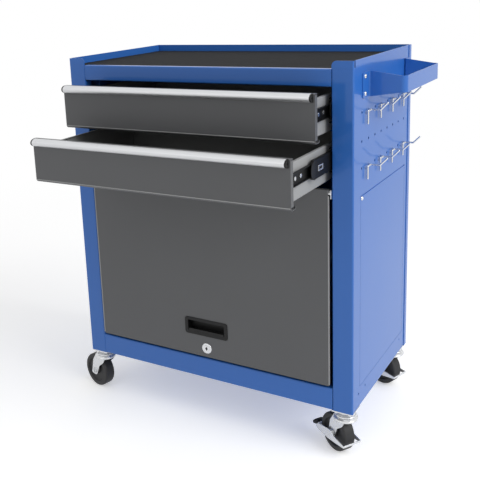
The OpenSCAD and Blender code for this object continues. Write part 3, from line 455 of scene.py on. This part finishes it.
def rounded_block(mesh, size, middle, radius, segments=3):
    """Adds a block with rounded edges to the mesh; sizes in metres."""
    made = bmesh.ops.create_cube(
        mesh,
        size=1,
        matrix=Matrix.Translation(middle) @ Matrix.Diagonal((*size, 1)),
    )
    round_edges(mesh, edges_of(made["verts"]), radius, segments)


def edges_of(verts):
    """The edges that meet these vertices, each once and in a settled order."""
    return list(dict.fromkeys(e for v in verts for e in v.link_edges))


def round_edges(mesh, edges, radius, segments):
    """Rounds these edges of the mesh; the radius in metres."""
    bmesh.ops.bevel(
        mesh,
        geom=edges,
        offset=radius,
        offset_type="OFFSET",
        segments=segments,
        profile=0.5,
        affect="EDGES",
        material=-1,
    )


def box_of(name):
    """Lowest and highest corner of a CAD node."""
    node = NODES[name]
    points = [node.matrix_world @ v.co for v in node.data.vertices]
    low = Vector([min(p[i] for p in points) for i in range(3)])
    high = Vector([max(p[i] for p in points) for i in range(3)])
    return low, high


def wheel_frame(corner):
    """Turns caster space into the row: the axle's middle, wheel trailing +X."""
    spin = JOINTS[f"wheel_{corner}_spin"]
    axis = Vector(spin["axis"])
    turn = math.atan2(-axis.x, axis.y)
    return Matrix.Translation(spin["pos_m"]) @ Matrix.Rotation(turn, 4, "Z")


class CABINET_OT_paint_body(bpy.types.Operator):
    """Enamels the folded sheets of the body, the posts and the handle"""

    bl_idname = "cabinet.paint_body"
    bl_label = "Paint Body"

    def execute(self, context):
        finish = context.scene.cabinet_finish
        trim = context.scene.cabinet_trim
        dress("body_blue", semi_gloss_enamel(finish, trim))
        return {"FINISHED"}


class CABINET_OT_coat_fronts(bpy.types.Operator):
    """Powder coats the door, the drawer fronts and the trays"""

    bl_idname = "cabinet.coat_fronts"
    bl_label = "Coat Fronts and Trays"

    def execute(self, context):
        finish = context.scene.cabinet_finish
        trim = context.scene.cabinet_trim
        fronts = fine_powder_coat("satin_powder_coat", finish.coat, trim, 0.36)
        # This coat is also worn by the front beads and the door's side beads, as their painted highlight.
        trays = fine_powder_coat("light_powder_coat_and_highlight", finish.tray, trim, 0.42)
        dress("front_grey", fronts)
        dress("tray_grey", trays)
        return {"FINISHED"}


class CABINET_OT_finish_metal(bpy.types.Operator):
    """Finishes the grip bars, the plated parts, the slides and the hooks"""

    bl_idname = "cabinet.finish_metal"
    bl_label = "Finish Metal Parts"

    def execute(self, context):
        finish = context.scene.cabinet_finish
        trim = context.scene.cabinet_trim
        dress("grip_metal", drawn_aluminium(finish, trim))
        dress("zinc", bright_zinc(finish, trim))
        dress("bare_steel", bright_steel(finish, trim))
        dress("slide_steel", dark_slide_steel(finish, trim))
        return {"FINISHED"}


class CABINET_OT_finish_rubber(bpy.types.Operator):
    """Finishes the top mat, the drawer liners, the wheels and the mouldings"""

    bl_idname = "cabinet.finish_rubber"
    bl_label = "Finish Rubber and Moulded Parts"

    def execute(self, context):
        finish = context.scene.cabinet_finish
        trim = context.scene.cabinet_trim
        dress("mat_grey", pebbled_mat(finish))
        dress("liner_black", ribbed_liner(finish))
        dress("wheel_black", solid_tyre(finish, trim))
        dress("black_plastic", spark_moulding(finish, trim))
        return {"FINISHED"}


class CABINET_OT_add_pedal_pads(bpy.types.Operator):
    """Moulds the black pads over the tips of the brake pedals"""

    bl_idname = "cabinet.add_pedal_pads"
    bl_label = "Add Brake Pedal Pads"

    # Middle of the pedal's outer half, from the axle's middle, and its slope.
    pedal_tip = Vector((57.8, 0, -10.2)) * MM
    pedal_slope = math.radians(17.2)
    pad_width = 24.5 * MM
    pad_edge = 3.4 * MM
    # Length along the pedal, width across it and height of one rib.
    rib = Vector((1.4, 17, 1.2)) * MM
    rib_edge = 0.4 * MM
    rib_pitch = 3.2 * MM

    def execute(self, context):
        trim = context.scene.cabinet_trim
        pad = (trim.pad_length, self.pad_width, trim.pad_height)
        for corner in BRAKED:
            mesh = bmesh.new()
            rounded_block(mesh, pad, Vector(), self.pad_edge, 5)
            for rib in range(-2, 3):
                middle = Vector((rib * self.rib_pitch, 0, trim.pad_height / 2))
                rounded_block(mesh, self.rib, middle, self.rib_edge, 2)
            place = (
                wheel_frame(corner)
                @ Matrix.Translation(self.pedal_tip)
                @ Matrix.Rotation(self.pedal_slope, 4, "Y")
            )
            bmesh.ops.transform(mesh, matrix=place, verts=mesh.verts)
            name = f"pedal_pad_{corner}"
            finish_piece(mesh, name, f"brake_{corner}", "black_plastic")
        return {"FINISHED"}


class CABINET_OT_add_race_beads(bpy.types.Operator):
    """Rolls the rounded beads that close the swivel races of the casters"""

    bl_idname = "cabinet.add_race_beads"
    bl_label = "Add Race Beads"

    # How far each bead lies under the swivel joint's place, and how thick it is.
    upper_drop = Vector((0, 0, 11.4)) * MM
    upper_thick = 1.5 * MM
    lower_drop = Vector((0, 0, 18.2)) * MM
    lower_thick = 2.1 * MM

    def execute(self, context):
        trim = context.scene.cabinet_trim
        for corner in CORNERS:
            swivel = Vector(JOINTS[f"swivel_{corner}"]["pos_m"])
            upper, lower = swivel - self.upper_drop, swivel - self.lower_drop
            mesh = self.bead(upper, trim.upper_bead, self.upper_thick)
            finish_piece(mesh, f"upper_bead_{corner}", "cabinet", "zinc")
            mesh = self.bead(lower, trim.lower_bead, self.lower_thick)
            finish_piece(mesh, f"lower_bead_{corner}", f"fork_{corner}", "zinc")
        return {"FINISHED"}

    def bead(self, middle, radius, thick):
        """A ring of round section; thick is the radius of the section."""
        mesh = bmesh.new()
        upright = Matrix.Rotation(QUARTER_TURN, 4, "X")
        section = bmesh.ops.create_circle(
            mesh,
            cap_ends=False,
            radius=thick,
            segments=20,
            matrix=Matrix.Translation(middle + Vector((radius, 0, 0))) @ upright,
        )
        bmesh.ops.spin(
            mesh,
            geom=section["verts"] + edges_of(section["verts"]),
            cent=middle,
            axis=(0, 0, 1),
            angle=math.tau,
            steps=72,
            use_merge=True,
        )
        bmesh.ops.remove_doubles(mesh, verts=mesh.verts, dist=1e-6)
        return mesh


class CABINET_OT_add_slide_catches(bpy.types.Operator):
    """Stamps the bright catch plates on the webs of the middle slide members"""

    bl_idname = "cabinet.add_slide_catches"
    bl_label = "Add Slide Catches"

    behind_nose = 13 * MM
    rim = 2.4 * MM
    stand_off = 0.7 * MM
    rim_edge = 0.2 * MM

    def execute(self, context):
        trim = context.scene.cabinet_trim
        for drawer in (1, 2):
            low, high = box_of(f"slide_noses_{drawer}")
            start = high.y + self.behind_nose
            level = (low.z + high.z) / 2
            for side, face in (("left", low.x), ("right", high.x)):
                mesh = self.plate(trim, math.copysign(1, face))
                place = Vector((face, start, level))
                bmesh.ops.translate(mesh, vec=place, verts=mesh.verts)
                name = f"slide_catch_{side}_{drawer}"
                finish_piece(mesh, name, f"slide_middle_{drawer}", "zinc")
        return {"FINISHED"}

    def plate(self, trim, out):
        """A plate with a square hole, standing off the web towards out."""
        mesh = bmesh.new()
        length, height = trim.catch_length, trim.catch_height
        rings = []
        for inset in (0, self.rim):
            corners = (
                (inset, inset - height / 2),
                (length - inset, inset - height / 2),
                (length - inset, height / 2 - inset),
                (inset, height / 2 - inset),
            )
            rings.append([mesh.verts.new((0, y, z)) for y, z in corners])
        faces = [
            mesh.faces.new((rings[0][i], rings[0][i - 1], rings[1][i - 1], rings[1][i]))
            for i in range(4)
        ]
        grown = bmesh.ops.extrude_face_region(mesh, geom=faces)["geom"]
        lifted = [v for v in grown if isinstance(v, bmesh.types.BMVert)]
        bmesh.ops.translate(mesh, vec=(out * self.stand_off, 0, 0), verts=lifted)
        rim_edges = [
            e
            for e in mesh.edges
            if all(v in lifted for v in e.verts)
            and len(e.link_faces) == 2
            and e.calc_face_angle(0) > SHARP_ANGLE
        ]
        round_edges(mesh, rim_edges, self.rim_edge, 3)
        return mesh


class CABINET_OT_add_stile_ears(bpy.types.Operator):
    """Carries the front faces beside the opening up to the top of the rims"""

    bl_idname = "cabinet.add_stile_ears"
    bl_label = "Add Stile Ears"

    # Clear of the top rail's end, and clear of the side's rounded corner.
    rail_gap = 0.3 * MM
    corner_inset = 2.4 * MM
    # Proud of the front face by a hair, so that it covers the seam.
    proud = 0.04 * MM
    thick = 1.28 * MM
    corner_steps = 12

    def execute(self, context):
        trim = context.scene.cabinet_trim
        for side, sign in (("left", -1), ("right", 1)):
            low, high = box_of(f"{side}_side_panel")
            rail_low, rail_high = box_of("top_rail")
            inner = max(abs(rail_low.x), rail_high.x) + self.rail_gap
            outer = max(abs(low.x), abs(high.x)) - self.corner_inset
            radius = trim.ear_radius
            outline = [(outer, high.z), (outer, rail_high.z), (inner, rail_high.z)]
            for step in range(self.corner_steps + 1):
                turn = math.pi - QUARTER_TURN * step / self.corner_steps
                x = inner + radius + radius * math.cos(turn)
                z = high.z - radius + radius * math.sin(turn)
                outline.append((x, z))
            mesh = bmesh.new()
            y = low.y - self.proud
            front = [mesh.verts.new((sign * x, y, z)) for x, z in outline]
            face = mesh.faces.new(front)
            grown = bmesh.ops.extrude_face_region(mesh, geom=[face])["geom"]
            back = [v for v in grown if isinstance(v, bmesh.types.BMVert)]
            bmesh.ops.translate(mesh, vec=(0, self.thick, 0), verts=back)
            finish_piece(mesh, f"stile_ear_{side}", "cabinet", "body_blue")
        return {"FINISHED"}


class CABINET_OT_add_front_beads(bpy.types.Operator):
    """Lays light grey beads along the drawer fronts' feet and the door's sides, a painted highlight of their
    folded edges
    """

    bl_idname = "cabinet.add_front_beads"
    bl_label = "Add Front Beads"

    # Foot beads of the drawer fronts: the small fold at each foot, in a light grey that paints its
    # highlight.
    end_gap = 1 * MM
    bead_depth = 1.1 * MM
    bead_edge = 0.45 * MM
    # Side beads of the door, light grey as a painted highlight of its folded edges: they stop short of the
    # hinge brackets.
    bracket_gap = 5 * MM
    foot_gap = 2 * MM
    side_depth = 2.2 * MM
    side_in = 1 * MM
    side_out = 0.3 * MM
    side_edge = 0.9 * MM

    def execute(self, context):
        trim = context.scene.cabinet_trim
        for drawer in (1, 2):
            low, high = box_of(f"drawer_front_{drawer}")
            mesh = bmesh.new()
            length = high.x - low.x - 2 * self.end_gap
            size = (length, self.bead_depth, trim.highlight_bead_height)
            middle = Vector((0, low.y, low.z + trim.highlight_bead_up))
            rounded_block(mesh, size, middle, self.bead_edge)
            # The light tray grey paints the highlight of the fold at the front's foot.
            finish_piece(mesh, f"front_highlight_bead_{drawer}", f"drawer_{drawer}", "tray_grey")
        low, high = box_of("door_panel")
        top = JOINTS["door_hinge"]["pos_m"][2] - self.bracket_gap
        foot = low.z + self.foot_gap
        size = (trim.edge_width, self.side_depth, top - foot)
        for side, edge in (("left", low.x), ("right", high.x)):
            mesh = bmesh.new()
            x = edge + math.copysign(self.side_out, edge)
            middle = Vector((x, low.y + self.side_in, (top + foot) / 2))
            rounded_block(mesh, size, middle, self.side_edge)
            # The light tray grey strip paints the highlight along the door's folded edge.
            finish_piece(mesh, f"door_highlight_edge_{side}", "door", "tray_grey")
        return {"FINISHED"}


class CABINET_OT_add_key_shutter(bpy.types.Operator):
    """Fits a dark disc behind the mouth of the key way, as a painted shade of the key hole"""

    bl_idname = "cabinet.add_key_shutter"
    bl_label = "Add Key Shutter"

    thick = 0.6 * MM
    taper = 0.3 * MM
    forward = 0.1 * MM

    def execute(self, context):
        trim = context.scene.cabinet_trim
        pivot = Vector(JOINTS["lock_turn"]["pos_m"])
        low, _ = box_of("lock_cylinder")
        mesh = bmesh.new()
        bmesh.ops.create_cone(
            mesh,
            cap_ends=True,
            segments=48,
            radius1=trim.keyhole_shade_radius,
            radius2=trim.keyhole_shade_radius - self.taper,
            depth=self.thick,
            matrix=Matrix.Translation((pivot.x, low.y - self.forward, pivot.z))
            @ Matrix.Rotation(QUARTER_TURN, 4, "X"),
        )
        # The black disc paints the shade inside the key hole.
        finish_piece(mesh, "keyhole_shade_disc", "lock", "black_plastic")
        return {"FINISHED"}


class CABINET_OT_set_stage(bpy.types.Operator):
    """Lays the floor and sets the lamps, the room light and the camera"""

    bl_idname = "cabinet.set_stage"
    bl_label = "Set Stage"

    # Each lamp's width, place and aim, in metres.
    key_lamp = (2.4, (3.2, -0.5, 2.6), (0.1, 0.0, 0.4))
    front_lamp = (2.0, (-0.9, -3.2, 2.4), (0.0, 0.0, 0.4))
    # The floor fades to plain white between these distances from the middle.
    fade_start = 0.9
    fade_end = 2.4

    def execute(self, context):
        scene = context.scene
        stage = scene.cabinet_stage
        self.lay_floor(scene, stage)
        self.light_room(scene, stage)
        self.hang_lamp(scene, "key_lamp", stage.key_power, *self.key_lamp)
        self.hang_lamp(scene, "front_lamp", stage.fill_power, *self.front_lamp)
        self.set_camera(scene, stage)
        scene.view_settings.view_transform = "Standard"
        return {"FINISHED"}

    def lay_floor(self, scene, stage):
        # White seamless paper: matt, a little brighter to the eye than its
        # light so that only the shadow shows, and fading to plain white.
        material, tree, shader = new_material("white_seamless_paper")
        place = place_of(tree)
        mottled(tree, shader, stage.floor, place, grain=0.8, amount=0.004)
        shader.inputs["Roughness"].default_value = 0.9
        seen = seen_rays(tree)
        lift = add(
            tree, "ShaderNodeMath", {"operation": "MULTIPLY", 0: stage.lift}, {1: seen}
        )
        strength = {"Strength": lift.outputs["Value"]}
        glow = add(tree, "ShaderNodeEmission", links=strength)
        lit = add(
            tree,
            "ShaderNodeAddShader",
            links={0: shader.outputs["BSDF"], 1: glow.outputs["Emission"]},
        )
        away = add(
            tree, "ShaderNodeVectorMath", {"operation": "LENGTH"}, {"Vector": place}
        )
        fade = add(
            tree,
            "ShaderNodeMapRange",
            {
                "From Min": self.fade_start,
                "From Max": self.fade_end,
                "interpolation_type": "SMOOTHSTEP",
            },
            {"Value": away.outputs["Value"]},
        )
        share = add(
            tree,
            "ShaderNodeMath",
            {"operation": "MULTIPLY"},
            {0: fade.outputs["Result"], 1: seen},
        )
        white = add(tree, "ShaderNodeEmission", {"Strength": 1.0})
        mix = add(
            tree,
            "ShaderNodeMixShader",
            links={
                0: share.outputs["Value"],
                1: lit.outputs["Shader"],
                2: white.outputs["Emission"],
            },
        )
        out = next(n for n in tree.nodes if n.type == "OUTPUT_MATERIAL")
        tree.links.new(mix.outputs["Shader"], out.inputs["Surface"])
        mesh = bmesh.new()
        bmesh.ops.create_grid(
            mesh, x_segments=2, y_segments=2, size=stage.floor_size / 2
        )
        data = bpy.data.meshes.new("floor")
        mesh.to_mesh(data)
        mesh.free()
        data.materials.append(material)
        floor = bpy.data.objects.new("floor", data)
        scene.collection.objects.link(floor)

    def light_room(self, scene, stage):
        world = bpy.data.worlds.new("studio")
        scene.world = world
        world.use_nodes = True
        tree = world.node_tree
        tree.nodes.clear()
        seen = seen_rays(tree)
        plain = (1, 1, 1, 1)
        room = add(
            tree, "ShaderNodeBackground", {"Color": plain, "Strength": stage.sky}
        )
        white = add(tree, "ShaderNodeBackground", {"Color": plain, "Strength": 1.0})
        mix = add(
            tree,
            "ShaderNodeMixShader",
            links={
                0: seen,
                1: room.outputs["Background"],
                2: white.outputs["Background"],
            },
        )
        add(tree, "ShaderNodeOutputWorld", links={"Surface": mix.outputs["Shader"]})

    def hang_lamp(self, scene, name, power, size, place, target):
        light = bpy.data.lights.new(name, "AREA")
        light.shape = "SQUARE"
        light.size = size
        light.energy = power
        lamp = bpy.data.objects.new(name, light)
        lamp.location = place
        aim = Vector(target) - Vector(place)
        lamp.rotation_euler = aim.to_track_quat("-Z", "Y").to_euler()
        scene.collection.objects.link(lamp)

    def set_camera(self, scene, stage):
        data = bpy.data.cameras.new("camera")
        data.lens = stage.lens
        data.sensor_width = SENSOR_WIDTH
        data.shift_x, data.shift_y = stage.shift
        a, e, r = stage.azimuth, stage.elevation, stage.roll
        back = Vector(
            (math.sin(a) * math.cos(e), -math.cos(a) * math.cos(e), math.sin(e))
        )
        level = Vector((math.cos(a), math.sin(a), 0))
        upright = back.cross(level)
        right = math.cos(r) * level + math.sin(r) * upright
        up = math.cos(r) * upright - math.sin(r) * level
        turn = Matrix((right, up, back)).transposed().to_4x4()
        camera = bpy.data.objects.new("camera", data)
        camera.matrix_world = Matrix.Translation(stage.eye) @ turn
        scene.collection.objects.link(camera)
        scene.camera = camera


class CABINET_PT_dressing(bpy.types.Panel):
    """The finishes, the trim and the stage of the cabinet"""

    bl_idname = "CABINET_PT_dressing"
    bl_label = "Tool Cabinet"
    bl_space_type = "VIEW_3D"
    bl_region_type = "UI"
    bl_category = "Tool Cabinet"

    def draw(self, context):
        layout = self.layout
        for group in ("cabinet_finish", "cabinet_trim", "cabinet_stage"):
            settings = getattr(context.scene, group)
            box = layout.box()
            for name in settings.bl_rna.properties.keys():
                if name not in ("rna_type", "name"):
                    box.prop(settings, name)
        for operator in OPERATORS:
            layout.operator(operator.bl_idname)


GROUPS = {
    "cabinet_finish": CabinetFinish,
    "cabinet_trim": CabinetTrim,
    "cabinet_stage": CabinetStage,
}
OPERATORS = (
    CABINET_OT_paint_body,
    CABINET_OT_coat_fronts,
    CABINET_OT_finish_metal,
    CABINET_OT_finish_rubber,
    CABINET_OT_add_pedal_pads,
    CABINET_OT_add_race_beads,
    CABINET_OT_add_slide_catches,
    CABINET_OT_add_stile_ears,
    CABINET_OT_add_front_beads,
    CABINET_OT_add_key_shutter,
    CABINET_OT_set_stage,
)


def register():
    for name, group in GROUPS.items():
        bpy.utils.register_class(group)
        setattr(bpy.types.Scene, name, bpy.props.PointerProperty(type=group))
    for operator in OPERATORS:
        bpy.utils.register_class(operator)
    bpy.utils.register_class(CABINET_PT_dressing)


def unregister():
    bpy.utils.unregister_class(CABINET_PT_dressing)
    for operator in reversed(OPERATORS):
        bpy.utils.unregister_class(operator)
    for name, group in reversed(GROUPS.items()):
        delattr(bpy.types.Scene, name)
        bpy.utils.unregister_class(group)


def main():
    register()
    for operator in OPERATORS:
        group, name = operator.bl_idname.split(".")
        getattr(getattr(bpy.ops, group), name)()


if __name__ == "__main__":
    main()
